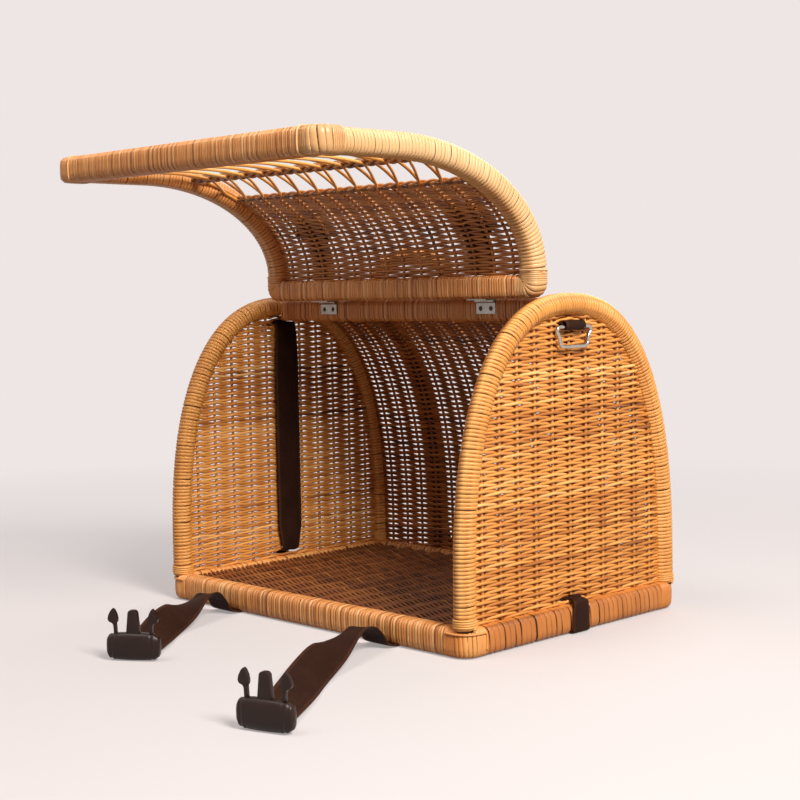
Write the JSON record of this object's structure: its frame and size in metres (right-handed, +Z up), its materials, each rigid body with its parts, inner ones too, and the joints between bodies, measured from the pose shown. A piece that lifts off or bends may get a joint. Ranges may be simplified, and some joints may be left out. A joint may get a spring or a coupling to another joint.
{
  "type": "rattan pet carrier",
  "caption": "Arched woven rattan pet carrier with a lid hinged at the ridge, lattice windows, a carry handle, closing straps with side-release buckles and a sling on wire rings.",
  "frame": {"origin": "on the surface it stands on, under the middle of the front base rail", "axes": "+X along the ridge to the right seen from the opening, +Y from the opening to the back, +Z up"},
  "size_m": [0.4767, 0.5659, 0.444],
  "materials": {
    "rattan_gold": "satin varnished golden rattan",
    "rattan_tan": "satin varnished tan rattan peel",
    "rattan_straw": "satin varnished pale rattan peel",
    "rattan_weave": "satin varnished woven rattan core",
    "webbing": "matt woven webbing",
    "buckle_plastic": "moulded, slightly glossy",
    "ring_chrome": "bright plated wire",
    "hinge_steel": "plated stamped steel"
  },
  "bodies": {
    "carrier": {"base_front_rail": "rattan_tan", "base_back_rail": "rattan_tan", "base_left_rail": "rattan_gold", "base_right_rail": "rattan_gold", "base_corner_front_left": "rattan_gold", "base_corner_front_right": "rattan_gold", "base_corner_back_left": "rattan_gold", "base_corner_back_right": "rattan_gold", "floor_panel": "rattan_weave", "arch_left": "rattan_gold", "arch_right": "rattan_gold", "side_panel_left": "rattan_gold", "side_panel_right": "rattan_gold", "back_panel": "rattan_weave", "ridge_rail": "rattan_tan", "carry_handle": "rattan_tan", "handle_binding_left": "rattan_gold", "handle_binding_right": "rattan_gold", "hinge_left_body_leaf": "hinge_steel", "hinge_left_pin": "hinge_steel", "hinge_left_body_screw_1": "hinge_steel", "hinge_left_body_screw_2": "hinge_steel", "hinge_right_body_leaf": "hinge_steel", "hinge_right_pin": "hinge_steel", "hinge_right_body_screw_1": "hinge_steel", "hinge_right_body_screw_2": "hinge_steel", "sling_strap": "webbing", "strap_left_base": "webbing", "strap_right_base": "webbing", "strap_left_free": "webbing", "strap_right_free": "webbing", "buckle_left_male": "buckle_plastic", "buckle_right_male": "buckle_plastic"},
    "lid": {"lid_hinge_rail": "rattan_tan", "lid_front_rail": "rattan_tan", "lid_side_rail_left": "rattan_straw", "lid_side_rail_right": "rattan_straw", "lid_corner_hinge_left": "rattan_straw", "lid_corner_hinge_right": "rattan_straw", "lid_corner_front_left": "rattan_straw", "lid_corner_front_right": "rattan_straw", "lid_panel": "rattan_weave", "lid_lattice": "rattan_tan", "strap_left_lid": "webbing", "strap_right_lid": "webbing", "buckle_left_female": "buckle_plastic", "buckle_right_female": "buckle_plastic", "hinge_left_lid_leaf": "hinge_steel", "hinge_left_lid_screw_1": "hinge_steel", "hinge_left_lid_screw_2": "hinge_steel", "hinge_right_lid_leaf": "hinge_steel", "hinge_right_lid_screw_1": "hinge_steel", "hinge_right_lid_screw_2": "hinge_steel"},
    "ring left": {"ring_left": "ring_chrome"},
    "ring right": {"ring_right": "ring_chrome"}
  },
  "joints": [
    {"name": "lid_hinge", "type": "hinge", "parent": "carrier", "child": "lid", "pos_m": [0, 0.129, 0.302], "axis": [-1, 0, 0], "range_deg": [-90, 6]},
    {"name": "ring_left_swing", "type": "hinge", "parent": "carrier", "child": "ring left", "pos_m": [-0.206, 0.141, 0.2777], "axis": [0, 1, 0], "range_deg": [-2, 100]},
    {"name": "ring_right_swing", "type": "hinge", "parent": "carrier", "child": "ring right", "pos_m": [0.206, 0.141, 0.2777], "axis": [0, -1, 0], "range_deg": [-2, 100]}
  ]
}
